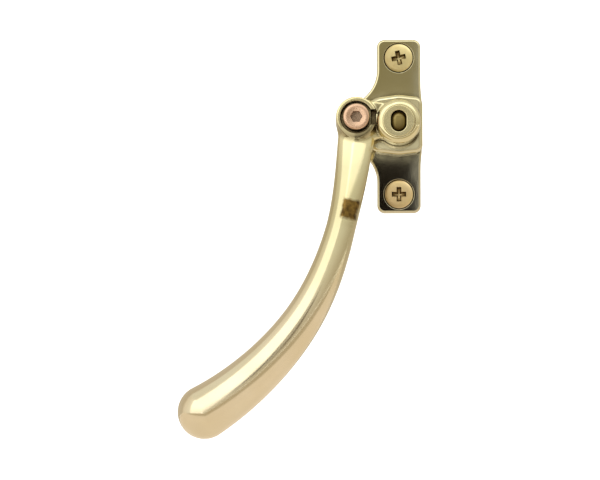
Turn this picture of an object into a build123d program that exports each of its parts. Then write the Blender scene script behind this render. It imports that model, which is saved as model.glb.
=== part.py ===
# Cranked window handle with a screw lock, in polished cast brass.
#
# Millimetres. The origin is on the hub's axis, in the plane of the plate's back.
# +Z runs up the plate, +X to the right as seen from the room, and the front faces -Y.
# Heights are measured from the plate's back towards the room, so a height h is at y = -h.
# The handle is shown closed: its grip hangs down to the left of the plate.
import os
from math import acos, atan2, cos, hypot, radians, sin, sqrt, tan

from build123d import *

os.makedirs("parts", exist_ok=True)

# Plate: thin ends for the screws, a raised step in the middle and a wing for the lock
SCREW_SPACING = 43.0
PLATE_END = 5.8
PLATE_WIDTH = 13.6
PLATE_THICKNESS = 3.4
PLATE_CORNER_R = 2.3
PLATE_CHAMFER = 0.9
PLATE_SWELL = 0.6
PLATE_SWELL_LENGTH = 24.0
PLATE_SWELL_R = 45.0
STEP_HEIGHT = 7.8
STEP_LENGTH = 18.8
STEP_BOW = 0.9
STEP_BOW_R = 8.0
STEP_CORNER_R = 2.4
STEP_EDGE_R = 1.15
WING_NOSE_R = 4.9
WING_FLARE_R = 11.3

# Fixing screws: raised countersunk heads with a cross recess, a plain neck in the plate
SCREW_THREAD_R = 2.5
SCREW_NECK_R = 2.2
SCREW_HEAD_R = 4.4
SCREW_HEAD_ANGLE = 90.0
SCREW_HEAD_RIM = 0.2
SCREW_DOME = 0.5
SCREW_FLAT_R = 2.5
SCREW_REACH = 22.0
SCREW_POINT = 1.0
SCREW_HOLE_CLEARANCE = 0.25
SCREW_SINK_CLEARANCE = 0.12
CROSS_SPAN = 4.5
CROSS_WIDTH = 1.1
CROSS_DEPTH = 1.9
CROSS_TAPER = 12.0
CROSS_TURN = {"upper": 12.0, "lower": 0.0}

# Spindle: square bar, turned down for the journal, with a flatted tenon
SPINDLE_SIZE = 7.0
SPINDLE_REACH = 30.0
SPINDLE_CHAMFER = 0.8
JOURNAL_R = 3.5
TENON_R = 2.8
TENON_FLATS = 4.0
RIVET_LENGTH = 6.0
RIVET_WIDTH = 4.4
RIVET_HEIGHT = 0.9
RIVET_CHAMFER = 0.4

# Bush between the spindle and the plate, and the washers behind it
RUNNING_CLEARANCE = 0.05
FACE_CLEARANCE = 0.05
BUSH_WALL = 0.85
BUSH_FLANGE_R = 6.2
BUSH_FLANGE_THICKNESS = 0.7
POCKET_R = 5.5
POCKET_DEPTH = 4.6
WASHER_CLEARANCE = 0.25
THRUST_THICKNESS = 1.0
SPRING_THICKNESS = 0.35
SPRING_HEIGHT = 0.7
SPRING_BORE_CLEARANCE = 0.25

# Lever: hub, lock eye, web between them, and the grip that ends in a bulb
HUB_R = 6.8
HUB_HEIGHT = 9.6
HUB_RIM_R = 1.8
HUB_FACE_R = 4.9
HUB_FACE_STEP = 0.3
RECESS_LENGTH = 6.6
RECESS_WIDTH = 4.8
RECESS_DEPTH = 2.4
EYE_R = 6.3
EYE_HEIGHT = 7.6
EYE_CLEARANCE = 1.2
EYE_CHAMFER = 0.5
EYE_BORE_R = 5.0
EYE_BORE_DEPTH = 3.4
WEB_HEIGHT = 5.4
WEB_JOIN_ANGLE = 60.0
WEB_EDGE_R = 1.0
WEB_CORNER_R = 1.5
WEB_CHAMFER = 0.4
NOTCH_LENGTH = 4.8
NOTCH_WIDTH = 1.8
NOTCH_DEPTH = 4.6
GRIP_START_WIDTH = 11.0
GRIP_START_THICKNESS = 7.2
GRIP_WAIST_AT = 0.31
GRIP_WAIST_WIDTH = 9.0
GRIP_WAIST_THICKNESS = 8.6
GRIP_SWELL = 1.15
GRIP_STRIPS = 20
BULB_R = 8.13
BULB_X = -58.6
BULB_Z = -88.7
BULB_RISE = 13.2

# Bends of the grip: shares of its way from root to bulb, across, out from the window and down
GRIP_BENDS = [(0.10, 0.52, 0.35), (0.32, 0.83, 0.65), (0.64, 0.955, 0.857)]

# Lock screw: knob head with a hexagon socket, thread and a plain point
LOCK_X = -13.0
LOCK_Z = 1.4
LOCK_TRAVEL = 2.4
LOCK_THREAD_R = 2.5
LOCK_POINT_R = 2.0
LOCK_POINT_CHAMFER = 0.5
LOCK_HEAD_R = 4.05
LOCK_HEAD_HEIGHT = 2.3
LOCK_HEAD_CHAMFER = 0.35
LOCK_DISH_R = 2.9
LOCK_DISH_DEPTH = 0.25
LOCK_SOCKET = 3.0
LOCK_SOCKET_DEPTH = 1.5
LOCK_HEAD_GAP = 0.1
LOCK_TIP_GAP = 0.3
LOCK_HOLE_CLEARANCE = 0.3

# Places that follow from the sizes
half_width = PLATE_WIDTH / 2
half_length = SCREW_SPACING / 2 + PLATE_END
journal_bore_r = JOURNAL_R + RUNNING_CLEARANCE
bush_r = journal_bore_r + BUSH_WALL
washer_r = POCKET_R - WASHER_CLEARANCE
hub_underside = STEP_HEIGHT + BUSH_FLANGE_THICKNESS + FACE_CLEARANCE
hub_top = hub_underside + HUB_HEIGHT
recess_floor = hub_top - RECESS_DEPTH
thrust_top = POCKET_DEPTH - SPRING_HEIGHT - FACE_CLEARANCE
shoulder = thrust_top - THRUST_THICKNESS
eye_underside = STEP_HEIGHT + EYE_CLEARANCE
eye_top = eye_underside + EYE_HEIGHT
eye_floor = eye_top - EYE_BORE_DEPTH
notch_floor = eye_top - NOTCH_DEPTH
lock_head_underside = eye_floor + LOCK_TRAVEL + LOCK_HEAD_GAP
lock_tip = STEP_HEIGHT + LOCK_TIP_GAP
lock_axis = Axis((LOCK_X, 0, LOCK_Z), (0, 1, 0))


def front(height):
    """Plane parallel to the plate, at a height above its back, facing the room."""
    return Plane.XZ.offset(height)


# Outline of the plate: one side flares into the lock wing, the other swells a little
wing_tip = abs(LOCK_X) + WING_NOSE_R * sqrt(2)
wing_root = wing_tip - half_width
swell_end = PLATE_SWELL_LENGTH / 2
with BuildSketch(front(0)) as outline:
    with BuildLine():
        FilletPolyline(
            (-half_width, -half_length),
            (-half_width, -wing_root),
            (-wing_tip, 0),
            (-half_width, wing_root),
            (-half_width, half_length),
            (half_width, half_length),
            (half_width, swell_end),
            (half_width + PLATE_SWELL, swell_end / 2),
            (half_width + PLATE_SWELL, -swell_end / 2),
            (half_width, -swell_end),
            (half_width, -half_length),
            radius=[
                PLATE_CORNER_R,
                WING_FLARE_R,
                WING_NOSE_R,
                WING_FLARE_R,
                PLATE_CORNER_R,
                PLATE_CORNER_R,
                PLATE_SWELL_R,
                PLATE_SWELL_R,
                PLATE_SWELL_R,
                PLATE_SWELL_R,
                PLATE_CORNER_R,
            ],
            close=True,
        )
    make_face()

# Raised step: bowed ends across the plate, tapering to the same nose round the lock
step_side = STEP_LENGTH / 2 - STEP_BOW
to_lock = abs(LOCK_X) - half_width
step_slope = acos(WING_NOSE_R / hypot(step_side, to_lock)) - atan2(to_lock, step_side)
step_tip = half_width + step_side / tan(step_slope)
with BuildPart() as step:
    with BuildSketch(front(0)):
        with BuildLine():
            FilletPolyline(
                (half_width + PLATE_SWELL, -step_side),
                (half_width + PLATE_SWELL, step_side),
                (0, STEP_LENGTH / 2),
                (-half_width, step_side),
                (-step_tip, 0),
                (-half_width, -step_side),
                (0, -STEP_LENGTH / 2),
                radius=[
                    STEP_CORNER_R,
                    STEP_CORNER_R,
                    STEP_BOW_R,
                    STEP_BOW_R,
                    WING_NOSE_R,
                    STEP_BOW_R,
                    STEP_BOW_R,
                ],
                close=True,
            )
        make_face()
    extrude(amount=STEP_HEIGHT)
    fillet(step.faces().sort_by(Axis.Y)[0].edges(), STEP_EDGE_R)

# Plate
screw_hole_r = SCREW_THREAD_R + SCREW_HOLE_CLEARANCE
sink_r = SCREW_HEAD_R + SCREW_HEAD_RIM + SCREW_SINK_CLEARANCE
with BuildPart() as backplate:
    extrude(outline.sketch, amount=PLATE_THICKNESS)
    chamfer(backplate.faces().sort_by(Axis.Y)[0].edges(), PLATE_CHAMFER)
    add(step.part)
    with BuildSketch(front(0)):
        Circle(POCKET_R)
    extrude(amount=POCKET_DEPTH, mode=Mode.SUBTRACT)
    with BuildSketch(front(0)):
        Circle(bush_r)
        with Locations((LOCK_X, LOCK_Z)):
            Circle(LOCK_POINT_R + LOCK_HOLE_CLEARANCE)
    extrude(amount=STEP_HEIGHT, mode=Mode.SUBTRACT)
    with Locations(front(PLATE_THICKNESS)):
        with GridLocations(0, SCREW_SPACING, 1, 2):
            CounterSinkHole(screw_hole_r, sink_r, counter_sink_angle=SCREW_HEAD_ANGLE)
backplate.part.label = "backplate"


def fixing_screw(z, turn):
    """One fixing screw, seated in the countersink at the height z on the plate."""
    face = PLATE_THICKNESS
    cone = (SCREW_HEAD_R - SCREW_NECK_R) / tan(radians(SCREW_HEAD_ANGLE / 2))
    neck = face - SCREW_HEAD_RIM - cone
    with BuildPart() as screw:
        with BuildSketch(Plane.XY.offset(z)):
            with BuildLine():
                Polyline(
                    (0, -face - SCREW_DOME),
                    (0, SCREW_REACH),
                    (SCREW_THREAD_R - SCREW_POINT, SCREW_REACH),
                    (SCREW_THREAD_R, SCREW_REACH - SCREW_POINT),
                    (SCREW_THREAD_R, 0),
                    (SCREW_NECK_R, 0),
                    (SCREW_NECK_R, -neck),
                    (SCREW_HEAD_R, -face + SCREW_HEAD_RIM),
                    (SCREW_HEAD_R, -face),
                    (SCREW_FLAT_R, -face - SCREW_DOME),
                    close=True,
                )
            make_face()
        revolve(axis=Axis((0, 0, z), (0, 1, 0)))
        with BuildSketch(front(face + SCREW_DOME)):
            with Locations((0, z)):
                Rectangle(CROSS_SPAN, CROSS_WIDTH, rotation=turn)
                Rectangle(CROSS_WIDTH, CROSS_SPAN, rotation=turn)
        extrude(amount=-CROSS_DEPTH, taper=CROSS_TAPER, mode=Mode.SUBTRACT)
    return screw.part


screw_upper = fixing_screw(SCREW_SPACING / 2, CROSS_TURN["upper"])
screw_upper.label = "fixing_screw_upper"
screw_lower = fixing_screw(-SCREW_SPACING / 2, CROSS_TURN["lower"])
screw_lower.label = "fixing_screw_lower"

# Flanged bush: lines the plate's bore and carries the hub on its flange
with BuildPart() as pivot_bush:
    with BuildSketch(front(POCKET_DEPTH)):
        Circle(bush_r)
    extrude(amount=STEP_HEIGHT - POCKET_DEPTH)
    with BuildSketch(front(STEP_HEIGHT)):
        Circle(BUSH_FLANGE_R)
    extrude(amount=BUSH_FLANGE_THICKNESS)
    with BuildSketch(front(POCKET_DEPTH)):
        Circle(journal_bore_r)
    extrude(amount=STEP_HEIGHT - POCKET_DEPTH + BUSH_FLANGE_THICKNESS, mode=Mode.SUBTRACT)
pivot_bush.part.label = "pivot_bush"

# Disc spring: a cone that presses the thrust washer back and gives the handle its drag
with BuildPart() as disc_spring:
    with BuildSketch(Plane.XY):
        with BuildLine():
            inner_r = JOURNAL_R + SPRING_BORE_CLEARANCE
            low = POCKET_DEPTH - SPRING_HEIGHT
            Polyline(
                (inner_r, -low),
                (inner_r, -low - SPRING_THICKNESS),
                (washer_r, -POCKET_DEPTH),
                (washer_r, -POCKET_DEPTH + SPRING_THICKNESS),
                close=True,
            )
        make_face()
    revolve(axis=Axis.Y)
disc_spring.part.label = "disc_spring"

# Thrust washer: rests on the shoulder where the square bar meets the journal
with BuildPart() as thrust_washer:
    with BuildSketch(front(shoulder)):
        Circle(washer_r)
        Circle(journal_bore_r, mode=Mode.SUBTRACT)
    extrude(amount=THRUST_THICKNESS)
thrust_washer.part.label = "thrust_washer"

# Spindle: square bar behind, journal in the bush, tenon through the hub and riveted over
with BuildPart() as spindle:
    with BuildSketch(front(-SPINDLE_REACH)):
        Rectangle(SPINDLE_SIZE, SPINDLE_SIZE)
    extrude(amount=SPINDLE_REACH + shoulder)
    chamfer(spindle.faces().sort_by(Axis.Y)[-1].edges(), SPINDLE_CHAMFER)
    with BuildSketch(front(shoulder)):
        Circle(JOURNAL_R)
    extrude(amount=hub_underside - shoulder)
    with BuildSketch(front(hub_underside)):
        Circle(TENON_R)
        Rectangle(TENON_FLATS, 2 * TENON_R, mode=Mode.INTERSECT)
    extrude(amount=recess_floor - hub_underside)
    with BuildSketch(front(recess_floor)):
        SlotOverall(RIVET_LENGTH, RIVET_WIDTH, rotation=90)
    extrude(amount=RIVET_HEIGHT)
    chamfer(spindle.faces().sort_by(Axis.Y)[0].edges(), RIVET_CHAMFER)
spindle.part.label = "spindle"

# Hub of the lever: a drum with a well rounded rim around a raised face
with BuildPart() as hub:
    with BuildSketch(Plane.XY):
        with BuildLine():
            rim_top = hub_top - HUB_FACE_STEP
            Polyline(
                (0, -hub_top),
                (0, -hub_underside),
                (HUB_R, -hub_underside),
                (HUB_R, -rim_top + HUB_RIM_R),
            )
            RadiusArc(
                (HUB_R, -rim_top + HUB_RIM_R),
                (HUB_R - HUB_RIM_R, -rim_top),
                HUB_RIM_R,
            )
            Polyline(
                (HUB_R - HUB_RIM_R, -rim_top),
                (HUB_FACE_R, -rim_top),
                (HUB_FACE_R - HUB_FACE_STEP, -hub_top),
                (0, -hub_top),
            )
        make_face()
    revolve(axis=Axis.Y)

# Lock eye of the lever: a round boss around the lock screw
with BuildPart() as eye:
    with BuildSketch(front(eye_underside)):
        with Locations((LOCK_X, LOCK_Z)):
            Circle(EYE_R)
    extrude(amount=EYE_HEIGHT)
    chamfer(eye.faces().sort_by(Axis.Y)[0].edges(), EYE_CHAMFER)

# Web of the lever: joins the hub to the eye and to the root of the grip
grip_side_x = LOCK_X + GRIP_START_WIDTH / 2 - WEB_EDGE_R / 2
web_hub_x = -HUB_R * cos(radians(WEB_JOIN_ANGLE))
web_hub_z = HUB_R * sin(radians(WEB_JOIN_ANGLE))
web_end_z = LOCK_Z - EYE_R - 2 * WEB_CORNER_R
with BuildPart() as web:
    with BuildSketch(front(eye_underside)):
        with BuildLine():
            FilletPolyline(
                (LOCK_X, LOCK_Z + EYE_R - WEB_EDGE_R / 2),
                (web_hub_x, web_hub_z),
                (web_hub_x, WEB_EDGE_R - web_hub_z),
                (grip_side_x, LOCK_Z - EYE_R),
                (grip_side_x - WEB_EDGE_R / 2, web_end_z),
                (LOCK_X, web_end_z),
                radius=[
                    WEB_EDGE_R,
                    WEB_EDGE_R,
                    WEB_EDGE_R,
                    WEB_CORNER_R,
                    WEB_EDGE_R,
                    WEB_EDGE_R,
                ],
                close=True,
            )
        make_face()
    extrude(amount=WEB_HEIGHT)
    chamfer(web.faces().sort_by(Axis.Y)[0].edges(), WEB_CHAMFER)

# Grip of the lever: oval at the eye, a waist, then round and widening to the bulb
grip_root = Vector(LOCK_X, -(eye_top + eye_underside) / 2, LOCK_Z - EYE_R / 2)
bulb_centre = Vector(BULB_X, grip_root.Y - BULB_RISE, BULB_Z)
way = bulb_centre - grip_root
grip_bends = [
    grip_root + Vector(way.X * across, way.Y * out, way.Z * down)
    for across, out, down in GRIP_BENDS
]
with BuildLine():
    grip_line = Spline(grip_root, *grip_bends, bulb_centre)


def grip_radius(at, start, waist, end):
    """Half size of the grip at a share of its length: straight runs eased at the waist."""
    if at < GRIP_WAIST_AT:
        ease = (1 - cos(radians(180 * at / GRIP_WAIST_AT))) / 2
        return start + (waist - start) * ease
    along = (at - GRIP_WAIST_AT) / (1 - GRIP_WAIST_AT)
    return waist + (end - waist) * along**GRIP_SWELL


grip_sections = []
for index in range(GRIP_STRIPS + 1):
    at = index / GRIP_STRIPS
    tangent = grip_line % at
    across = tangent.cross(Vector(0, 1, 0))
    wide = grip_radius(at, GRIP_START_WIDTH / 2, GRIP_WAIST_WIDTH / 2, BULB_R)
    thick = grip_radius(at, GRIP_START_THICKNESS / 2, GRIP_WAIST_THICKNESS / 2, BULB_R)
    with BuildSketch(Plane(origin=grip_line @ at, x_dir=across, z_dir=tangent)) as section:
        Ellipse(wide, thick)
    grip_sections.append(section.sketch.face())

# Short straight strips between the ovals bend by two or three degrees each and keep the solid light
with BuildPart() as grip:
    loft(grip_sections, ruled=True)
    with Locations(bulb_centre):
        Sphere(BULB_R)

# Lever: one casting of those forms, bored for the spindle and the lock screw
with BuildPart() as lever:
    add(hub.part)
    add(eye.part)
    add(web.part)
    add(grip.part)
    with BuildSketch(front(recess_floor)):
        SlotOverall(RECESS_LENGTH, RECESS_WIDTH, rotation=90)
    extrude(amount=RECESS_DEPTH, mode=Mode.SUBTRACT)
    with BuildSketch(front(hub_underside)):
        Circle(TENON_R)
        Rectangle(TENON_FLATS, 2 * TENON_R, mode=Mode.INTERSECT)
    extrude(amount=recess_floor - hub_underside, mode=Mode.SUBTRACT)
    with BuildSketch(front(eye_floor)):
        with Locations((LOCK_X, LOCK_Z)):
            Circle(EYE_BORE_R)
    extrude(amount=hub_top - eye_floor, mode=Mode.SUBTRACT)
    with BuildSketch(front(eye_underside)):
        with Locations((LOCK_X, LOCK_Z)):
            Circle(LOCK_THREAD_R + RUNNING_CLEARANCE)
    extrude(amount=eye_floor - eye_underside, mode=Mode.SUBTRACT)
    # A short notch opens the eye's wall where it would meet the hub
    with BuildSketch(front(notch_floor)):
        with Locations((-HUB_R - FACE_CLEARANCE - NOTCH_WIDTH / 2, LOCK_Z)):
            Rectangle(NOTCH_WIDTH, NOTCH_LENGTH)
    extrude(amount=hub_top - notch_floor, mode=Mode.SUBTRACT)
lever.part.label = "lever"

# Lock screw, backed out: its point clears the wing and goes in by LOCK_TRAVEL when locked
lock_head_top = lock_head_underside + LOCK_HEAD_HEIGHT
lock_point_top = lock_tip + LOCK_TRAVEL + LOCK_HEAD_GAP
with BuildPart() as lock_screw:
    with BuildSketch(Plane((LOCK_X, 0, LOCK_Z))):
        with BuildLine():
            Polyline(
                (0, -lock_tip),
                (LOCK_POINT_R - LOCK_POINT_CHAMFER, -lock_tip),
                (LOCK_POINT_R, -lock_tip - LOCK_POINT_CHAMFER),
                (LOCK_POINT_R, -lock_point_top),
                (LOCK_THREAD_R, -lock_point_top),
                (LOCK_THREAD_R, -lock_head_underside),
                (LOCK_HEAD_R, -lock_head_underside),
                (LOCK_HEAD_R, -lock_head_top + LOCK_HEAD_CHAMFER),
                (LOCK_HEAD_R - LOCK_HEAD_CHAMFER, -lock_head_top),
                (LOCK_DISH_R, -lock_head_top),
                (0, -lock_head_top + LOCK_DISH_DEPTH),
                close=True,
            )
        make_face()
    revolve(axis=lock_axis)
    with BuildSketch(front(lock_head_top)):
        with Locations((LOCK_X, LOCK_Z)):
            RegularPolygon(LOCK_SOCKET / 2, 6, major_radius=False)
    extrude(amount=-LOCK_SOCKET_DEPTH, mode=Mode.SUBTRACT)
lock_screw.part.label = "lock_screw"

for piece in (
    backplate.part,
    screw_upper,
    screw_lower,
    pivot_bush.part,
    disc_spring.part,
    thrust_washer.part,
    spindle.part,
    lever.part,
    lock_screw.part,
):
    export_step(piece, f"parts/{piece.label}.step")
    print(piece.label, round(piece.volume, 1), piece.bounding_box())
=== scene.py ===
# Cranked window handle in polished brass: its look in a small white studio.
#
# Sizes are in millimetres, as a workshop drawing gives them, and turned to metres where a mesh is made.
# A place is given as (across, up, height): across to the right, up the plate, height off the plate's back.
from math import acos, atan2, ceil, cos, degrees, hypot, pi, radians, sin, sqrt, tan

import bmesh
import bpy
import numpy as np
from mathutils import Matrix, Vector


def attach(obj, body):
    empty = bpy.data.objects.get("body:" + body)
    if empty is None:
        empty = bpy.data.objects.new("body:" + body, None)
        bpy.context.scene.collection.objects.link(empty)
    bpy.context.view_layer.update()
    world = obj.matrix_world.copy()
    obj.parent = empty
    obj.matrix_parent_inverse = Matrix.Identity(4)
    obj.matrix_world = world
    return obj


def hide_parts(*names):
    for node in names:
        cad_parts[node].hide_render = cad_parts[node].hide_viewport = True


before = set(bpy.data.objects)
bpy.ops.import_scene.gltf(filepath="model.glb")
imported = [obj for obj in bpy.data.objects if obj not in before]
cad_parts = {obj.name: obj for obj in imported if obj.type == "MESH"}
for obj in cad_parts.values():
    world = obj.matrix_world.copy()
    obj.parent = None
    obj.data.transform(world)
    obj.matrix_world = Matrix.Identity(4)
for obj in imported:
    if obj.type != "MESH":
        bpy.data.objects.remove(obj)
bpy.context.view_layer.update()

MM = 0.001

# Plate
SCREW_SPACING = 43.0
PLATE_HALF_WIDTH = 6.8
PLATE_HALF_LENGTH = 27.3
PLATE_THICKNESS = 3.4
CORNER_R = 2.3
SWELL = 0.6
SWELL_NEAR = 6.0
SWELL_FAR = 12.0
SWELL_R = 45
STEP_HEIGHT = 7.8
STEP_SIDE = 8.5
STEP_MIDDLE = 9.4
STEP_CORNER_R = 2.4
STEP_BEND_R = 8
NOSE_R = 4.9
FLARE_R = 11.3
POCKET_R = 5.5
POCKET_DEPTH = 4.6
BUSH_R = 4.4
LOCK_HOLE_R = 2.3
SINK_R = 4.87
SCREW_HOLE_R = 2.75

# Lever
LOCK_X = -13.0
LOCK_Z = 1.4
HUB_R = 6.8
HUB_LOW = 8.55
HUB_TOP = 18.15
HUB_FACE_STEP = 0.3
HUB_FACE_R = 4.9
HUB_RIM_R = 1.8
RECESS_FLOOR = 15.75
EYE_R = 6.3
EYE_LOW = 9.0
EYE_TOP = 16.6
EYE_FLOOR = 13.2
EYE_BORE_R = 5.0
WEB_TOP = 14.4
NOTCH_FLOOR = 12.0
BULB_R = 8.13
WAIST_AT = 0.31

# Half size of the grip at its root and at its waist
GRIP_WIDE = (5.5, 4.5)
GRIP_THICK = (2.8, 4.3)

# Brown patch on the grip, seen from the front: middle, lean in degrees, half size
PATCH_LEAN = -14.0
PATCH_PLACE = (-15.0 * MM, 0, -27.4 * MM)
PATCH_HALF = (2.3 * MM, -18.5 * MM, 3.0 * MM)

# Lock screw
LOCK_UNDERSIDE = 15.7
LOCK_TOP = 18.0
LOCK_TIP = 8.1
LOCK_HEAD_R = 4.05
HEXAGON = 3.0

# Fixing screws, and the M5 thread that all three screws have
HEAD_R = 4.4
DOME = 0.55
SCREW_TIP = -22.0
THREAD_R = 2.5
PITCH = 0.8
THREAD_DEPTH = 0.4

# Spindle
SPINDLE_HALF = 3.5
SPINDLE_END = -30
TENON_R = 1.97

# Studio, in metres: floor, the paper's reach on each side, where the wall stands and how high it goes
FLOOR = -0.135
REACH = 1.6
WALL = 1.2
CURVE = 0.3
WALL_TOP = 1.3


def place(across, up, height):
    """A place on the drawing, in metres."""
    return across * MM, -height * MM, up * MM


def skin(name, rings):
    """A closed skin over rings of places, each ring with as many places as the last."""
    count = len(rings[0])
    places = [place(*spot) for ring in rings for spot in ring]
    faces = [tuple(range(count))]
    for low in range(0, len(places) - count, count):
        for i in range(count):
            j = (i + 1) % count
            faces.append((low + i, low + j, low + count + j, low + count + i))
    faces.append(tuple(range(len(places) - count, len(places))))
    return new_piece(name, places, faces)


def new_piece(name, places, faces):
    """A mesh piece with its faces turned outwards."""
    mesh = bpy.data.meshes.new(name)
    mesh.from_pydata(places, [], faces)
    work = bmesh.new()
    work.from_mesh(mesh)
    bmesh.ops.recalc_face_normals(work, faces=work.faces)
    work.to_mesh(mesh)
    work.free()
    piece = bpy.data.objects.new(name, mesh)
    bpy.context.scene.collection.objects.link(piece)
    return piece


def rounded(corners, radii, turn):
    """A closed line with rounded corners, a point each turn degrees: the points and, for each, the direction
    square to the line."""
    points, squares = [], []
    for i, (corner, radius) in enumerate(zip(corners, radii)):
        here = Vector(corner)
        back = (Vector(corners[i - 1]) - here).normalized()
        ahead = (Vector(corners[(i + 1) % len(corners)]) - here).normalized()
        half = back.angle(ahead) / 2
        centre = here + (back + ahead).normalized() * radius / sin(half)
        first = here + back * radius / tan(half) - centre
        sweep = pi - 2 * half
        side = 1 if back.cross(ahead) < 0 else -1
        steps = max(2, ceil(degrees(sweep) / turn))
        for step in range(steps + 1):
            angle = side * sweep * step / steps
            c, d = cos(angle), sin(angle)
            spoke = Vector((first.x * c - first.y * d, first.x * d + first.y * c))
            points.append(centre + spoke)
            squares.append(spoke.normalized() * side)
    return points, squares


def block(name, line, heights):
    """A block with the outline of a rounded line; heights pairs how far each ring is set in with its height."""
    points, squares = line
    rings = []
    for inset, height in heights:
        rings.append([(p.x - s.x * inset, p.y - s.y * inset, height) for p, s in zip(points, squares)])
    return skin(name, rings)


def turned(name, across, up, profile, steps=96, thread=None):
    """A turned piece on an axis square to the plate. profile pairs radius with height; thread gives where a
    screw thread starts and ends, its pitch and its depth."""
    low, high, pitch, depth = thread or (0, 0, 1, 0)
    rings = []
    for radius, height in profile:
        ring = []
        for i in range(steps):
            angle = 2 * pi * i / steps
            r = radius
            if low < height < high:
                turn = (height / pitch + i / steps) % 1
                fade = min(1, (height - low) / pitch, (high - height) / pitch)
                r -= depth * fade * abs(2 * turn - 1)
            ring.append((across + r * cos(angle), up + r * sin(angle), height))
        rings.append(ring)
    return skin(name, rings)


def settle(piece):
    """Works a piece's modifiers into its mesh."""
    view = bpy.context.evaluated_depsgraph_get()
    made = bpy.data.meshes.new_from_object(piece.evaluated_get(view))
    old = piece.data
    piece.modifiers.clear()
    piece.data = made
    bpy.data.meshes.remove(old)


def work_on(piece, tool, how):
    """Cuts a tool's shape out of a piece, or joins it on."""
    step = piece.modifiers.new(tool.name, "BOOLEAN")
    step.operation = how
    step.solver = "EXACT"
    step.object = tool
    settle(piece)
    bpy.data.objects.remove(tool)


def buff(piece, crease):
    """Smooth faces, with an edge kept crisp where it turns by more than crease degrees."""
    work = bmesh.new()
    work.from_mesh(piece.data)
    bmesh.ops.remove_doubles(work, verts=work.verts, dist=0.004 * MM)
    bmesh.ops.dissolve_degenerate(work, edges=work.edges, dist=0.002 * MM)
    for face in work.faces:
        face.smooth = True
    for edge in work.edges:
        edge.smooth = len(edge.link_faces) == 2 and edge.calc_face_angle(0) < radians(crease)
    work.to_mesh(piece.data)
    work.free()
    even = piece.modifiers.new("even", "WEIGHTED_NORMAL")
    even.keep_sharp = True
    even.weight = 100
    settle(piece)


# The grip's line: root in the eye, three bends, bulb
GRIP_ROOT = np.array((LOCK_X, -(EYE_TOP + EYE_LOW) / 2, LOCK_Z - EYE_R / 2))
BULB = np.array((-58.6, GRIP_ROOT[1] - 13.2, -88.7))
GRIP_BENDS = ((0.10, 0.52, 0.35), (0.32, 0.83, 0.65), (0.64, 0.955, 0.857))
GRIP_STEPS = 400


def smooth_line(corners, count):
    """Evenly spaced points on the smooth line through the corners, and its direction at each."""
    corners = np.array(corners)
    spans = np.linalg.norm(np.diff(corners, axis=0), axis=1)
    knots = np.append(0, np.cumsum(spans))
    slopes = np.zeros_like(corners)
    system = np.eye(len(corners))
    # At each end the line leaves as the cubic through the nearest four corners does
    for end, near in ((0, slice(0, 4)), (-1, slice(-4, None))):
        fits = [np.polyder(np.polyfit(knots[near], corners[near, c], 3)) for c in range(3)]
        slopes[end] = [np.polyval(fit, knots[end]) for fit in fits]
    for i in range(1, len(corners) - 1):
        before, after = spans[i - 1], spans[i]
        system[i, i - 1 : i + 2] = 1 / before, 2 / before + 2 / after, 1 / after
        rise = (corners[i] - corners[i - 1]) / before**2 + (corners[i + 1] - corners[i]) / after**2
        slopes[i] = 3 * rise
    slopes = np.linalg.solve(system, slopes)

    def on_line(where):
        i = np.clip(np.searchsorted(knots, where, side="right") - 1, 0, len(spans) - 1)
        u = ((where - knots[i]) / spans[i])[:, None]
        h = spans[i][:, None]
        spot = (2 * u**3 - 3 * u**2 + 1) * corners[i] + (u**3 - 2 * u**2 + u) * h * slopes[i]
        spot += (3 * u**2 - 2 * u**3) * corners[i + 1] + (u**3 - u**2) * h * slopes[i + 1]
        way = (6 * u**2 - 6 * u) * (corners[i] - corners[i + 1]) / h
        way += (3 * u**2 - 4 * u + 1) * slopes[i] + (3 * u**2 - 2 * u) * slopes[i + 1]
        return spot, way / np.linalg.norm(way, axis=1)[:, None]

    fine = np.linspace(0, knots[-1], 4000)
    spots, _ = on_line(fine)
    length = np.append(0, np.cumsum(np.linalg.norm(np.diff(spots, axis=0), axis=1)))
    even = np.interp(np.linspace(0, length[-1], count), length, fine)
    return (*on_line(even), length[-1])


way_down = BULB - GRIP_ROOT
grip_spots, grip_ways, grip_length = smooth_line(
    [GRIP_ROOT, *(GRIP_ROOT + way_down * bend for bend in GRIP_BENDS), BULB], GRIP_STEPS
)
grip_across = np.cross(grip_ways, (0, 1, 0))
grip_across /= np.linalg.norm(grip_across, axis=1)[:, None]
grip_out = np.cross(grip_ways, grip_across)


def grip_radius(start, waist):
    """Half size of the grip at each step of its line: eased in to the waist, then out to the bulb."""
    share = np.linspace(0, 1, GRIP_STEPS)
    ease = (1 - np.cos(pi * np.minimum(share / WAIST_AT, 1))) / 2
    along = np.maximum(share - WAIST_AT, 0) / (1 - WAIST_AT)
    return start + (waist - start) * ease + (BULB_R - waist) * along**1.15


grip_wide = grip_radius(*GRIP_WIDE)
grip_thick = grip_radius(*GRIP_THICK)


# The lever is one casting. Its surface is where these distances, run together, are nought.
def run_together(one, other, fillet):
    """The nearer of two distances, with a fillet where they meet."""
    share = np.clip(0.5 + 0.5 * (other - one) / fillet, 0, 1)
    return other * (1 - share) + one * share - fillet * share * (1 - share)


def rounded_box(side, end, rounding):
    """Distance from a form with a side and an end, its edge rounded."""
    side = side + rounding
    end = end + rounding
    outside = np.hypot(np.maximum(side, 0), np.maximum(end, 0))
    return np.minimum(np.maximum(side, end), 0) + outside - rounding


def drum_gap(spots, across, up, radius, low, high, rounding):
    """Distance from a round boss; rounding is that of its front rim."""
    height = -spots[:, 1]
    side = np.hypot(spots[:, 0] - across, spots[:, 2] - up) - radius
    end = np.abs(height - (low + high) / 2) - (high - low) / 2
    return rounded_box(side, end, np.where(height > (low + high) / 2, rounding, 0.4))


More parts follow.
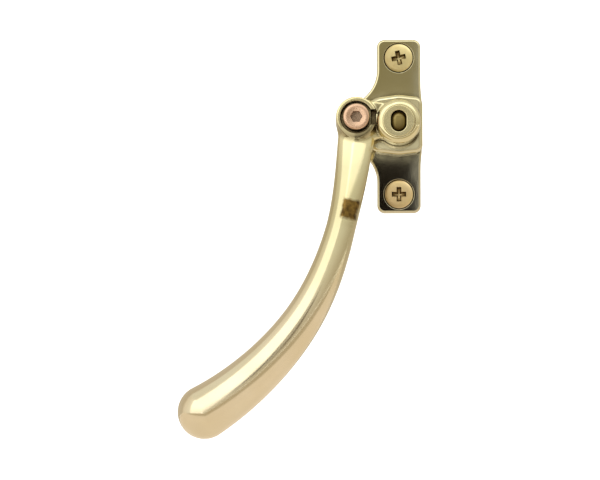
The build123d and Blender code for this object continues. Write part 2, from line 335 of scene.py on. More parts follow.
WEB_LINE = [
    (LOCK_X, LOCK_Z + EYE_R - 0.5),
    (-HUB_R / 2, 5.9),
    (-HUB_R / 2, -4.9),
    (-8.0, -4.9),
    (-8.5, -7.9),
    (LOCK_X, -7.9),
]


def web_gap(spots):
    """Distance from the web between hub and eye."""
    inside = np.ones(len(spots), bool)
    side = np.full(len(spots), np.inf)
    for start, end in zip(WEB_LINE, WEB_LINE[1:] + WEB_LINE[:1]):
        edge = np.subtract(end, start)
        off = spots[:, (0, 2)] - start
        share = np.clip(off @ edge / (edge @ edge), 0, 1)
        side = np.minimum(side, np.linalg.norm(off - share[:, None] * edge, axis=1))
        crossing = (start[1] > spots[:, 2]) != (end[1] > spots[:, 2])
        if edge[1]:
            crossing &= off[:, 0] < off[:, 1] * edge[0] / edge[1]
            inside ^= crossing
    side = np.where(inside, side, -side)
    end = np.abs(-spots[:, 1] - (EYE_LOW + WEB_TOP) / 2) - (WEB_TOP - EYE_LOW) / 2
    return rounded_box(side, end, 0.5)


def grip_gap(spots, nearest):
    """Distance from the grip, seen from each spot's nearest step on its line."""
    spacing = grip_length / (GRIP_STEPS - 1)
    along = np.sum((spots - grip_spots[nearest]) * grip_ways[nearest], axis=1)
    where = np.clip(nearest + along / spacing, 0, GRIP_STEPS - 1.001)
    low = where.astype(int)
    share = where - low

    def between(values):
        if values.ndim == 2:
            return values[low] * (1 - share)[:, None] + values[low + 1] * share[:, None]
        return values[low] * (1 - share) + values[low + 1] * share

    off = spots - between(grip_spots)
    wide, thick = between(grip_wide), between(grip_thick)
    a = np.sum(off * between(grip_across), axis=1) / wide
    b = np.sum(off * between(grip_out), axis=1) / thick
    c = np.sum(off * between(grip_ways), axis=1) / wide
    return (np.sqrt(a**2 + b**2 + c**2) - 1) * np.sqrt(wide * thick)


def casting_gap(spots, nearest):
    """Distance from the whole casting, hub, web, eye and grip."""
    eye = drum_gap(spots, LOCK_X, LOCK_Z, EYE_R, EYE_LOW, EYE_TOP, 0.4)
    arm = run_together(run_together(eye, web_gap(spots), 0.9), grip_gap(spots, nearest), 2.2)
    # Cut flat at the eye's back
    arm = -run_together(-arm, -EYE_LOW - spots[:, 1], 0.4)
    hub = drum_gap(spots, 0, 0, HUB_R, HUB_LOW, HUB_TOP - HUB_FACE_STEP, HUB_RIM_R)
    return run_together(arm, hub, 0.7)


def nearest_steps(spots):
    """For each spot, the step of the grip's line that is nearest to it."""
    found = np.zeros(len(spots), int)
    batch = 20000
    for start in range(0, len(spots), batch):
        part = spots[start : start + batch]
        gaps = (grip_spots**2).sum(1) - 2 * part @ grip_spots.T
        found[start : start + batch] = gaps.argmin(1)
    return found


def ease_onto_casting(piece):
    """Moves each point of a rough skin onto the casting's true surface, evenly spread."""
    mesh = piece.data
    spots = np.zeros(len(mesh.vertices) * 3)
    mesh.vertices.foreach_get("co", spots)
    spots = spots.reshape(-1, 3) / MM
    ends = np.zeros(len(mesh.edges) * 2, int)
    mesh.edges.foreach_get("vertices", ends)
    ends = ends.reshape(-1, 2)
    meeting = np.bincount(ends.ravel(), minlength=len(spots))[:, None]
    probe = 0.01
    rounds = 6
    for turn in range(rounds):
        if turn:
            middle = np.zeros_like(spots)
            for c in range(3):
                middle[:, c] = np.bincount(ends[:, 0], spots[ends[:, 1], c], len(spots))
                middle[:, c] += np.bincount(ends[:, 1], spots[ends[:, 0], c], len(spots))
            spots += 0.5 * (middle / meeting - spots)
        nearest = nearest_steps(spots)
        for _ in range(2 if turn < rounds - 1 else 4):
            gap = casting_gap(spots, nearest)
            slope = np.zeros_like(spots)
            for c in range(3):
                shift = np.zeros(3)
                shift[c] = probe
                slope[:, c] = casting_gap(spots + shift, nearest) - casting_gap(spots - shift, nearest)
            slope /= 2 * probe
            step = gap[:, None] * slope / np.maximum((slope**2).sum(1), 0.2)[:, None]
            spots -= np.clip(step, -0.4, 0.4)
    mesh.vertices.foreach_set("co", (spots * MM).ravel())
    mesh.update()


def slot_line(length, width):
    """Outline of an upright slot."""
    half, radius = length / 2 - width / 2, width / 2
    points, squares = [], []
    for i in range(48):
        angle = 2 * pi * (i + 0.5) / 48
        spoke = Vector((cos(angle), sin(angle)))
        points.append(spoke * radius + Vector((0, half if spoke.y > 0 else -half)))
        squares.append(spoke)
    return points, squares


def lead_in(top, radius, steps=6):
    """Heights of a tool that leaves a rounded rim round a hole in a flat face."""
    quarter = [pi / 2 * i / steps for i in range(steps + 1)]
    return [(-radius, top + 1)] + [(-radius * (1 - sin(q)), top - radius * (1 - cos(q))) for q in quarter]


def make_lever():
    """The lever's casting, bored and slotted."""
    rough = turned("lever_casting", 0, 0, [(HUB_R, HUB_LOW), (HUB_R, HUB_TOP)])
    eye = turned("eye", LOCK_X, LOCK_Z, [(EYE_R, EYE_LOW), (EYE_R, EYE_TOP)])
    outline = [Vector(corner) for corner in WEB_LINE], [Vector((0, 0))] * len(WEB_LINE)
    web = block("web", outline, [(0, EYE_LOW), (0, WEB_TOP)])
    rings = []
    turn = np.linspace(0, 2 * pi, 48, endpoint=False)[:, None]
    for i in range(0, GRIP_STEPS, 3):
        ring = grip_spots[i] + grip_across[i] * grip_wide[i] * np.cos(turn)
        ring = ring + grip_out[i] * grip_thick[i] * np.sin(turn)
        rings.append([(x, z, -y) for x, y, z in ring])
    for lean in np.linspace(0.15, 1.45, 8):
        ring = BULB + grip_ways[-1] * BULB_R * sin(lean)
        ring = ring + (grip_across[-1] * np.cos(turn) + grip_out[-1] * np.sin(turn)) * BULB_R * cos(lean)
        rings.append([(x, z, -y) for x, y, z in ring])
    grip = skin("grip", rings)
    work = bmesh.new()
    for part in (rough, eye, web, grip):
        work.from_mesh(part.data)
    work.to_mesh(rough.data)
    work.free()
    for part in (eye, web, grip):
        bpy.data.objects.remove(part)
    remesh = rough.modifiers.new("one skin", "REMESH")
    remesh.mode = "VOXEL"
    # Cells of 0.28 mm keep the casting under 200,000 triangles
    remesh.voxel_size = 0.28 * MM
    settle(rough)
    ease_onto_casting(rough)

    face_low = HUB_TOP - HUB_FACE_STEP
    face = [(HUB_FACE_R, face_low - 0.6), (HUB_FACE_R, face_low + 0.05)]
    face += [(HUB_FACE_R - 0.1, HUB_TOP - 0.1), (HUB_FACE_R - 0.25, HUB_TOP)]
    work_on(rough, turned("hub_face", 0, 0, face), "UNION")
    recess = lead_in(HUB_TOP, 0.25) + [(0, RECESS_FLOOR + 0.2), (0.2, RECESS_FLOOR)]
    work_on(rough, block("recess", slot_line(6.6, 4.8), recess), "DIFFERENCE")
    tenon = turned("tenon_hole", 0, 0, [(1.98, RECESS_FLOOR + 0.5), (1.98, HUB_LOW - 1)], 32)
    work_on(rough, tenon, "DIFFERENCE")
    bore = [(EYE_BORE_R - inset, height) for inset, height in lead_in(EYE_TOP, 0.12)]
    bore += [(EYE_BORE_R, EYE_FLOOR + 0.2), (EYE_BORE_R - 0.2, EYE_FLOOR)]
    bore += [(3.0, EYE_FLOOR), (2.6, EYE_FLOOR - 0.4), (2.6, EYE_LOW - 1)]
    work_on(rough, turned("lock_bore", LOCK_X, LOCK_Z, bore), "DIFFERENCE")
    near, far = -HUB_R - 0.05, -HUB_R - 1.85
    low, high = LOCK_Z - 2.4, LOCK_Z + 2.4
    line = rounded([(far, low), (near, low), (near, high), (far, high)], [0.4] * 4, turn=15)
    notch = [(0, HUB_TOP + 1), (0, NOTCH_FLOOR + 0.2), (0.2, NOTCH_FLOOR)]
    work_on(rough, block("notch", line, notch), "DIFFERENCE")
    buff(rough, 40)
    return rough


def soft_edge(top, radius, back=0, steps=8):
    """Heights of a block with a rounded front edge and a broken back edge."""
    quarter = [pi / 2 * i / steps for i in range(steps + 1)]
    front = [(radius * (1 - cos(q)), top - radius * (1 - sin(q))) for q in quarter]
    return [(0.25, back), (0, back + 0.25)] + front


def make_backplate():
    """The plate: thin ends, a raised step, a wing for the lock; bored, and sunk for the screws."""
    tip = abs(LOCK_X) + NOSE_R * sqrt(2)
    root = tip - PLATE_HALF_WIDTH
    side = PLATE_HALF_WIDTH + SWELL
    line = rounded(
        [
            (PLATE_HALF_WIDTH, -PLATE_HALF_LENGTH),
            (PLATE_HALF_WIDTH, -SWELL_FAR),
            (side, -SWELL_NEAR),
            (side, SWELL_NEAR),
            (PLATE_HALF_WIDTH, SWELL_FAR),
            (PLATE_HALF_WIDTH, PLATE_HALF_LENGTH),
            (-PLATE_HALF_WIDTH, PLATE_HALF_LENGTH),
            (-PLATE_HALF_WIDTH, root),
            (-tip, 0),
            (-PLATE_HALF_WIDTH, -root),
            (-PLATE_HALF_WIDTH, -PLATE_HALF_LENGTH),
        ],
        [CORNER_R] + [SWELL_R] * 4 + [CORNER_R, CORNER_R, FLARE_R, NOSE_R, FLARE_R, CORNER_R],
        turn=5,
    )
    plate = block("plate_casting", line, soft_edge(PLATE_THICKNESS, 0.7))
    slope = acos(NOSE_R / hypot(STEP_SIDE, abs(LOCK_X) - PLATE_HALF_WIDTH))
    slope -= atan2(abs(LOCK_X) - PLATE_HALF_WIDTH, STEP_SIDE)
    tip = PLATE_HALF_WIDTH + STEP_SIDE / tan(slope)
    line = rounded(
        [
            (side, -STEP_SIDE),
            (side, STEP_SIDE),
            (0, STEP_MIDDLE),
            (-PLATE_HALF_WIDTH, STEP_SIDE),
            (-tip, 0),
            (-PLATE_HALF_WIDTH, -STEP_SIDE),
            (0, -STEP_MIDDLE),
        ],
        [STEP_CORNER_R] * 2 + [STEP_BEND_R] * 2 + [NOSE_R] + [STEP_BEND_R] * 2,
        turn=5,
    )
    # A hair inside the plate's own sides and back, so that no two faces fall together
    heights = [(inset + 0.02, height) for inset, height in soft_edge(STEP_HEIGHT, 1.15, back=0.06)]
    work_on(plate, block("step", line, heights), "UNION")
    pocket = [(POCKET_R + 0.32, -1), (POCKET_R + 0.32, -0.02), (POCKET_R, 0.3), (POCKET_R, POCKET_DEPTH)]
    work_on(plate, turned("pocket", 0, 0, pocket), "DIFFERENCE")
    bore = [(BUSH_R, POCKET_DEPTH - 1), (BUSH_R, STEP_HEIGHT + 1)]
    work_on(plate, turned("bush_bore", 0, 0, bore), "DIFFERENCE")
    hole = [(LOCK_HOLE_R - inset, height) for inset, height in lead_in(STEP_HEIGHT, 0.2)]
    hole += [(LOCK_HOLE_R, -1)]
    work_on(plate, turned("lock_hole", LOCK_X, LOCK_Z, hole, 64), "DIFFERENCE")
    face = PLATE_THICKNESS
    sink = [(SINK_R, face + 1), (SINK_R, face), (SINK_R - 0.15, face - 0.08)]
    sink += [(SCREW_HOLE_R, face - 2.05), (SCREW_HOLE_R, -1)]
    for up in (-SCREW_SPACING / 2, SCREW_SPACING / 2):
        work_on(plate, turned("countersink", 0, up, sink), "DIFFERENCE")
    buff(plate, 30)
    return plate


def make_fixing_screw(name, up, turn):
    """Raised countersunk screw with an M5 thread, and a cross recess turned by so many degrees."""
    face = PLATE_THICKNESS
    flat = 0.985
    profile = []
    for lean in np.linspace(0.03, pi / 2, 14):
        fall = (1 - cos(lean * flat)) / (1 - cos(pi / 2 * flat))
        profile.append((HEAD_R * sin(lean), face + DOME - 0.5 * fall))
    profile += [(HEAD_R, face - 0.1), (HEAD_R - 0.1, face - 0.25)]
    profile += [(2.3, face - 2.25), (2.2, face - 2.45), (2.2, 0.1)]
    profile += [(THREAD_R, h) for h in np.arange(0, SCREW_TIP + 1, -PITCH / 10)]
    profile += [(1.6, SCREW_TIP + 0.1), (1.5, SCREW_TIP)]
    thread = (SCREW_TIP + 0.8, 0.02, PITCH, THREAD_DEPTH + 0.02)
    screw = turned(name, 0, up, profile, 72, thread)
    rings = []
    c, d = cos(radians(turn)), sin(radians(turn))
    # Across the arms, width of an arm and height, from the mouth of the recess to its floor
    for span, width, height in ((4.7, 1.6, 1.0), (4.5, 1.5, 0.45), (3.7, 1.1, -1.3), (0.9, 0.5, -1.9)):
        s, w = span / 2, width / 2
        arms = [(s, -w), (s, w), (w, w), (w, s), (-w, s), (-w, w)]
        arms += [(-x, -y) for x, y in arms]
        rings.append([(x * c - y * d, up + x * d + y * c, face + height) for x, y in arms])
    work_on(screw, skin("cross", rings), "DIFFERENCE")
    buff(screw, 32)
    return screw


def make_lock_screw():
    """Lock screw: round head with a hexagon socket, M5 thread, plain point."""
    top, edge, under = LOCK_TOP, LOCK_HEAD_R, LOCK_UNDERSIDE
    profile = [(0.05, top - 0.25), (2.75, top - 0.03), (2.95, top), (edge - 0.5, top)]
    profile += [(edge - 0.25, top - 0.09), (edge - 0.08, top - 0.25), (edge, top - 0.5)]
    profile += [(edge, under + 0.15), (edge - 0.15, under), (THREAD_R, under - 0.01)]
    profile += [(THREAD_R, h) for h in np.arange(under - 0.1, 10.7, -0.07)]
    profile += [(2.0, 10.55), (2.0, LOCK_TIP + 0.5), (1.5, LOCK_TIP)]
    thread = (10.65, under - 0.4, PITCH, THREAD_DEPTH)
    screw = turned("lock_screw_turned", LOCK_X, LOCK_Z, profile, 96, thread)
    rings = []
    for wider, height in ((0.3, 0.5), (0.3, -0.1), (0, -0.3), (0, -2.0), (-0.6, -2.1)):
        r = (HEXAGON + wider) / 2 / cos(pi / 6)
        corners = [pi / 3 * i for i in range(6)]
        rings.append([(LOCK_X + r * cos(q), LOCK_Z + r * sin(q), top + height) for q in corners])
    work_on(screw, skin("hexagon", rings), "DIFFERENCE")
    buff(screw, 32)
    return screw


def make_spindle():
    """Square spindle with turned journal and a riveted tenon in the hub's recess."""
    half = SPINDLE_HALF
    square, _ = rounded([(-half, -half), (half, -half), (half, half), (-half, half)], [0.35] * 4, turn=15)
    taper = ((0.74, SPINDLE_END), (0.95, SPINDLE_END + 0.75), (1, SPINDLE_END + 1), (1, 2.75), (0.97, 2.85))
    bar = skin("spindle_bar", [[(p.x * share, p.y * share, height) for p in square] for share, height in taper])
    journal = turned("journal", 0, 0, [(half, 2.0), (half, HUB_LOW - 0.1), (half - 0.1, HUB_LOW)])
    work_on(bar, journal, "UNION")
    tenon = turned("tenon", 0, 0, [(TENON_R, HUB_LOW - 1), (TENON_R, RECESS_FLOOR + 0.3)], 32)
    work_on(bar, tenon, "UNION")
    dome = [(0.05, 0), (0, 0.3), (0.2, 0.55), (0.7, 0.78), (1.4, 0.88)]
    rivet = block("rivet", slot_line(6.0, 4.4), [(inset, RECESS_FLOOR + rise) for inset, rise in dome])
    work_on(bar, rivet, "UNION")
    buff(bar, 30)
    return bar


def colour(hex_code):
    """An sRGB hex value as the linear colour that a shader takes."""
    parts = [int(hex_code[i : i + 2], 16) / 255 for i in (1, 3, 5)]
    return [c / 12.92 if c <= 0.04045 else ((c + 0.055) / 1.055) ** 2.4 for c in parts] + [1]


def add(tree, kind, links=(), **settings):
    """One shader node with its settings; links pairs a socket with a value or another node's output."""
    node = tree.nodes.new(kind)
    for name, value in settings.items():
        setattr(node, name, value)
    for socket, value in dict(links).items():
        if isinstance(value, bpy.types.NodeSocket):
            tree.links.new(value, node.inputs[socket])
        else:
            node.inputs[socket].default_value = value
    return node


def new_finish(name):
    """A new finish and its node tree, empty."""
    finish = bpy.data.materials.new(name)
    finish.use_nodes = True
    finish.node_tree.nodes.clear()
    return finish, finish.node_tree


def front_brown_patch(tree, spot):
    """How much brown is painted on: 1 inside a ragged patch on the grip's front, 0 elsewhere."""
    ragged = add(tree, "ShaderNodeTexNoise", {"Vector": spot, "Scale": 1 / (2.4 * MM), "Detail": 2})
    either_way = {0: ragged.outputs["Color"], 1: (0.5, 0.5, 0.5)}
    jitter = add(tree, "ShaderNodeVectorMath", either_way, operation="SUBTRACT").outputs[0]
    push = add(tree, "ShaderNodeVectorMath", {0: jitter, "Scale": 2.0 * MM}, operation="SCALE").outputs[0]
    moved = add(tree, "ShaderNodeVectorMath", {0: spot, 1: push}, operation="ADD").outputs[0]
    off = add(tree, "ShaderNodeVectorMath", {0: moved, 1: PATCH_PLACE}, operation="SUBTRACT").outputs[0]
    turn = add(tree, "ShaderNodeMapping", {"Vector": off, "Rotation": (0, radians(PATCH_LEAN), 0)}).outputs[0]
    sizes = add(tree, "ShaderNodeVectorMath", {0: turn, 1: PATCH_HALF}, operation="DIVIDE").outputs[0]
    parts = add(tree, "ShaderNodeSeparateXYZ", {0: sizes})
    shares = []
    for axis in ("X", "Z"):
        size = add(tree, "ShaderNodeMath", {0: parts.outputs[axis]}, operation="ABSOLUTE").outputs[0]
        shares.append(add(tree, "ShaderNodeMapRange", {0: size, 1: 1.2, 2: 0.85}).outputs[0])
    front = add(tree, "ShaderNodeMapRange", {0: parts.outputs["Y"], 1: 0.9, 2: 1.1}).outputs[0]
    flat = add(tree, "ShaderNodeMath", {0: shares[0], 1: shares[1]}, operation="MULTIPLY").outputs[0]
    return add(tree, "ShaderNodeMath", {0: flat, 1: front}, operation="MULTIPLY").outputs[0]


def cast_brass(name, keen, dull, clean_tones, clouded_tones):
    """Sand-cast brass, buffed on a wheel and lacquered: pale gold, mirror bright, with the slow waves
    that hand buffing leaves, a few duller clouds, and a hard clear skin over it. keen and dull are how
    rough the brightest and the dullest places are; the tones are those at the hub, the neck and the bulb."""
    finish, tree = new_finish(name)
    spot = add(tree, "ShaderNodeTexCoord").outputs["Object"]
    clouds = add(tree, "ShaderNodeTexNoise", {"Vector": spot, "Scale": 1 / (11 * MM), "Detail": 4}).outputs[0]
    waves = add(tree, "ShaderNodeTexNoise", {"Vector": spot, "Scale": 1 / (8 * MM), "Detail": 1}).outputs[0]
    # Wheel lines are about 0.02 mm apart; they are drawn at 0.25 mm so that they show
    stretched = add(tree, "ShaderNodeMapping", {"Vector": spot, "Scale": (4000, 4000, 350)}).outputs[0]
    lines = add(tree, "ShaderNodeTexNoise", {"Vector": stretched, "Scale": 1, "Detail": 2}).outputs[0]
    # The tone changes with height, yellow at the hub, greyer and darker on the neck, a little pink at the bulb:
    # painted reflection, for lamp light that looks duller and pinker along the grip
    up = add(tree, "ShaderNodeSeparateXYZ", {0: spot}).outputs["Z"]
    neck = add(tree, "ShaderNodeMapRange", {0: up, 1: -4 * MM, 2: -14 * MM}).outputs[0]
    lower = add(tree, "ShaderNodeMapRange", {0: up, 1: -30 * MM, 2: -60 * MM}).outputs[0]
    tones = []
    for at_hub, at_neck, at_bulb in (clean_tones, clouded_tones):
        tone = add(tree, "ShaderNodeMix", {0: neck, 6: colour(at_hub), 7: colour(at_neck)}, data_type="RGBA")
        tone = add(tree, "ShaderNodeMix", {0: lower, 6: tone.outputs[2], 7: colour(at_bulb)}, data_type="RGBA")
        tones.append(tone.outputs[2])
    tone = add(tree, "ShaderNodeMix", {0: clouds, 6: tones[0], 7: tones[1]}, data_type="RGBA").outputs[2]
    # Painted shade and old polish: narrow places that the wheel can't reach are darkened brown by ambient occlusion
    open_air = add(tree, "ShaderNodeAmbientOcclusion", {"Distance": 3 * MM}, samples=8).outputs["AO"]
    polish_and_shade = add(tree, "ShaderNodeMapRange", {0: open_air, 1: 0.78, 2: 0.42}).outputs[0]
    tone = add(tree, "ShaderNodeMix", {0: polish_and_shade, 6: tone, 7: colour("#3E2E14")}, data_type="RGBA").outputs[2]
    # Painted shade: darker under the eye, where the grip runs up to it
    off_eye = add(tree, "ShaderNodeVectorMath", {0: spot, 1: (LOCK_X * MM, 0, LOCK_Z * MM)}, operation="SUBTRACT")
    flat = add(tree, "ShaderNodeVectorMath", {0: off_eye.outputs[0], 1: (1, 0, 1)}, operation="MULTIPLY").outputs[0]
    reach = add(tree, "ShaderNodeVectorMath", {0: flat}, operation="LENGTH").outputs["Value"]
    round_eye = add(tree, "ShaderNodeMapRange", {0: reach, 1: 8.2 * MM, 2: 6.0 * MM}).outputs[0]
    under = add(tree, "ShaderNodeMapRange", {0: up, 1: (LOCK_Z + 2) * MM, 2: (LOCK_Z - EYE_R) * MM}).outputs[0]
    painted_eye_shade = add(tree, "ShaderNodeMath", {0: round_eye, 1: under}, operation="MULTIPLY").outputs[0]
    painted_eye_shade = add(tree, "ShaderNodeMath", {0: painted_eye_shade, 1: 0.92}, operation="MULTIPLY").outputs[0]
    tone = add(tree, "ShaderNodeMix", {0: painted_eye_shade, 6: tone, 7: colour("#75684A")}, data_type="RGBA").outputs[2]
    # A ragged brown patch is painted on the front of the grip
    blots = add(tree, "ShaderNodeTexNoise", {"Vector": spot, "Scale": 1 / (1.7 * MM), "Detail": 2}).outputs[0]
    blots = add(tree, "ShaderNodeMapRange", {0: blots, 1: 0.35, 2: 0.70}).outputs[0]
    brown = add(tree, "ShaderNodeMix", {0: blots, 6: colour("#4A350C"), 7: colour("#8E7032")}, data_type="RGBA")
    patch = front_brown_patch(tree, spot)
    tone = add(tree, "ShaderNodeMix", {0: patch, 6: tone, 7: brown.outputs[2]}, data_type="RGBA").outputs[2]
    slow = add(tree, "ShaderNodeBump", {"Height": waves, "Strength": 0.3, "Distance": 0.05 * MM}).outputs[0]
    fine = add(tree, "ShaderNodeBump", {"Height": lines, "Strength": 0.10, "Distance": 0.01 * MM, "Normal": slow})
    surface = add(
        tree,
        "ShaderNodeBsdfPrincipled",
        {
            "Base Color": tone,
            "Metallic": 1.0,
            "Roughness": add(tree, "ShaderNodeMapRange", {0: clouds, 3: keen, 4: dull}).outputs[0],
            "Normal": fine.outputs[0],
            "Coat Weight": 0.25,
            "Coat Roughness": 0.06,
            "Coat IOR": 1.5,
        },
    )
    add(tree, "ShaderNodeOutputMaterial", {"Surface": surface.outputs[0]})
    return finish


def turned_copper_brass():
    """Turned brass rich in copper: pinkish, with the fine rings that the lathe tool leaves round the axis."""
    finish, tree = new_finish("turned_copper_brass")
    spot = add(tree, "ShaderNodeTexCoord").outputs["Object"]
    centred = add(tree, "ShaderNodeMapping", {"Vector": spot, "Location": (-LOCK_X * MM, 0, -LOCK_Z * MM)})
    flat = add(tree, "ShaderNodeVectorMath", {0: centred.outputs[0], 1: (1, 0, 1)}, operation="MULTIPLY")
    # Tool rings are about 0.1 mm apart; they are drawn at 0.22 mm so that they show
    reach = add(tree, "ShaderNodeVectorMath", {0: flat.outputs[0]}, operation="LENGTH").outputs["Value"]
    turns = add(tree, "ShaderNodeMath", {0: reach, 1: 2 * pi / (0.22 * MM)}, operation="MULTIPLY").outputs[0]
    rings = add(tree, "ShaderNodeMath", {0: turns}, operation="SINE").outputs[0]
    clouds = add(tree, "ShaderNodeTexNoise", {"Vector": spot, "Scale": 1 / (2.5 * MM), "Detail": 4}).outputs[0]
    # Painted shade: darker in the hexagon socket and the narrow places round the head, by ambient occlusion
    open_air = add(tree, "ShaderNodeAmbientOcclusion", {"Distance": 2.5 * MM}, samples=8).outputs["AO"]
    hollow_shade = add(tree, "ShaderNodeMapRange", {0: open_air, 1: 0.75, 2: 0.35}).outputs[0]
    tone = add(tree, "ShaderNodeMix", {0: clouds, 6: colour("#E3C3A8"), 7: colour("#CCA688")}, data_type="RGBA")
    tone = add(tree, "ShaderNodeMix", {0: hollow_shade, 6: tone.outputs[2], 7: colour("#6F6050")}, data_type="RGBA")
    fine = add(tree, "ShaderNodeBump", {"Height": rings, "Strength": 0.25, "Distance": 0.006 * MM})
    surface = add(
        tree,
        "ShaderNodeBsdfPrincipled",
        {
            "Base Color": tone.outputs[2],
            "Metallic": 1.0,
            "Roughness": add(tree, "ShaderNodeMapRange", {0: clouds, 3: 0.20, 4: 0.34}).outputs[0],
            "Normal": fine.outputs[0],
        },
    )
    add(tree, "ShaderNodeOutputMaterial", {"Surface": surface.outputs[0]})
    return finish


def headed_steel_brass_plated():
    """Cold-headed steel, bright brass plate: a little paler and grainier than the castings, with painted shade in
    its corners and on its side towards the lever."""
    finish, tree = new_finish("headed_steel_brass_plated")
    spot = add(tree, "ShaderNodeTexCoord").outputs["Object"]
    clouds = add(tree, "ShaderNodeTexNoise", {"Vector": spot, "Scale": 1 / (1.6 * MM), "Detail": 4}).outputs[0]
    grain = add(tree, "ShaderNodeTexNoise", {"Vector": spot, "Scale": 1 / (0.3 * MM), "Detail": 3}).outputs[0]
    # Painted shade: darker in the cross recess and under the head, by ambient occlusion
    open_air = add(tree, "ShaderNodeAmbientOcclusion", {"Distance": 1.2 * MM}, samples=8).outputs["AO"]
    hollow_shade = add(tree, "ShaderNodeMapRange", {0: open_air, 1: 0.88, 2: 0.50}).outputs[0]
    # The lower screw's plating has worn a little pinker than the upper one's
    up = add(tree, "ShaderNodeSeparateXYZ", {0: spot}).outputs["Z"]
    lower = add(tree, "ShaderNodeMapRange", {0: up, 1: 8 * MM, 2: -8 * MM}).outputs[0]
    tone = add(tree, "ShaderNodeMix", {0: lower, 6: colour("#F2E8B2"), 7: colour("#F0D8AC")}, data_type="RGBA")
    tone = add(tree, "ShaderNodeMix", {0: clouds, 6: tone.outputs[2], 7: colour("#E2CC90")}, data_type="RGBA")
    # Painted shade: the head is darker towards the lever, on its left
    across = add(tree, "ShaderNodeSeparateXYZ", {0: spot}).outputs["X"]
    shaded_lever_side = add(tree, "ShaderNodeMapRange", {0: across, 1: 3 * MM, 2: -4 * MM}).outputs[0]
    dull = add(tree, "ShaderNodeMix", {0: shaded_lever_side, 6: colour("#FFFFFF"), 7: colour("#B9B3AC")}, data_type="RGBA")
    both = {0: 1.0, 6: tone.outputs[2], 7: dull.outputs[2]}
    tone = add(tree, "ShaderNodeMix", both, data_type="RGBA", blend_type="MULTIPLY")
    tone = add(tree, "ShaderNodeMix", {0: hollow_shade, 6: tone.outputs[2], 7: colour("#5A441C")}, data_type="RGBA")
    fine = add(tree, "ShaderNodeBump", {"Height": grain, "Strength": 0.2, "Distance": 0.012 * MM})
    surface = add(
        tree,
        "ShaderNodeBsdfPrincipled",
        {
            "Base Color": tone.outputs[2],
            "Metallic": 1.0,
            "Roughness": add(tree, "ShaderNodeMapRange", {0: clouds, 3: 0.26, 4: 0.36}).outputs[0],
            "Normal": fine.outputs[0],
        },
    )
    add(tree, "ShaderNodeOutputMaterial", {"Surface": surface.outputs[0]})
    return finish


def drawn_steel_zinc_plated():
    """Drawn steel, bright zinc plate: bluish grey, with faint lines along the bar and cloudy spangle."""
    finish, tree = new_finish("drawn_steel_zinc_plated")
    spot = add(tree, "ShaderNodeTexCoord").outputs["Object"]
    # The die's lines are about 0.05 mm apart; they are drawn at 0.2 mm so that they show
    stretched = add(tree, "ShaderNodeMapping", {"Vector": spot, "Scale": (5000, 200, 5000)}).outputs[0]
    lines = add(tree, "ShaderNodeTexNoise", {"Vector": stretched, "Scale": 1, "Detail": 2}).outputs[0]
    clouds = add(tree, "ShaderNodeTexNoise", {"Vector": spot, "Scale": 1 / (3 * MM), "Detail": 5}).outputs[0]
    zinc = add(tree, "ShaderNodeMix", {0: clouds, 6: colour("#C9CCCF"), 7: colour("#A9ADB3")}, data_type="RGBA")
    # The riveted end is painted brownish brass, with painted shade darkening it towards the bottom of the recess
    depth = add(tree, "ShaderNodeSeparateXYZ", {0: spot}).outputs["Y"]
    end = add(tree, "ShaderNodeMapRange", {0: depth, 1: -15.2 * MM, 2: -15.7 * MM}).outputs[0]
    up = add(tree, "ShaderNodeSeparateXYZ", {0: spot}).outputs["Z"]
    low = add(tree, "ShaderNodeMapRange", {0: up, 1: 1 * MM, 2: -2.6 * MM}).outputs[0]
    end_tone_and_shade = add(tree, "ShaderNodeMix", {0: low, 6: colour("#968654"), 7: colour("#574624")}, data_type="RGBA")
    tone = add(tree, "ShaderNodeMix", {0: end, 6: zinc.outputs[2], 7: end_tone_and_shade.outputs[2]}, data_type="RGBA")
    fine = add(tree, "ShaderNodeBump", {"Height": lines, "Strength": 0.3, "Distance": 0.01 * MM})
    surface = add(
        tree,
        "ShaderNodeBsdfPrincipled",
        {
            "Base Color": tone.outputs[2],
            "Metallic": 1.0,
            "Roughness": add(tree, "ShaderNodeMapRange", {0: clouds, 3: 0.28, 4: 0.42}).outputs[0],
            "Normal": fine.outputs[0],
        },
    )
    add(tree, "ShaderNodeOutputMaterial", {"Surface": surface.outputs[0]})
    return finish


def hardened_spring_steel_oiled():
    """Hardened spring steel, oiled: nearly black, with a brown bloom and a satin gloss."""
    finish, tree = new_finish("hardened_spring_steel_oiled")
    spot = add(tree, "ShaderNodeTexCoord").outputs["Object"]
    bloom = add(tree, "ShaderNodeTexNoise", {"Vector": spot, "Scale": 1 / (2 * MM), "Detail": 4}).outputs[0]
    tone = add(tree, "ShaderNodeMix", {0: bloom, 6: colour("#5A5A5E"), 7: colour("#4E453C")}, data_type="RGBA")
    fine = add(tree, "ShaderNodeBump", {"Height": bloom, "Strength": 0.15, "Distance": 0.01 * MM})
    surface = add(
        tree,
        "ShaderNodeBsdfPrincipled",
        {
            "Base Color": tone.outputs[2],
            "Metallic": 1.0,
            "Roughness": add(tree, "ShaderNodeMapRange", {0: bloom, 3: 0.30, 4: 0.45}).outputs[0],
            "Normal": fine.outputs[0],
        },
    )
    add(tree, "ShaderNodeOutputMaterial", {"Surface": surface.outputs[0]})
    return finish


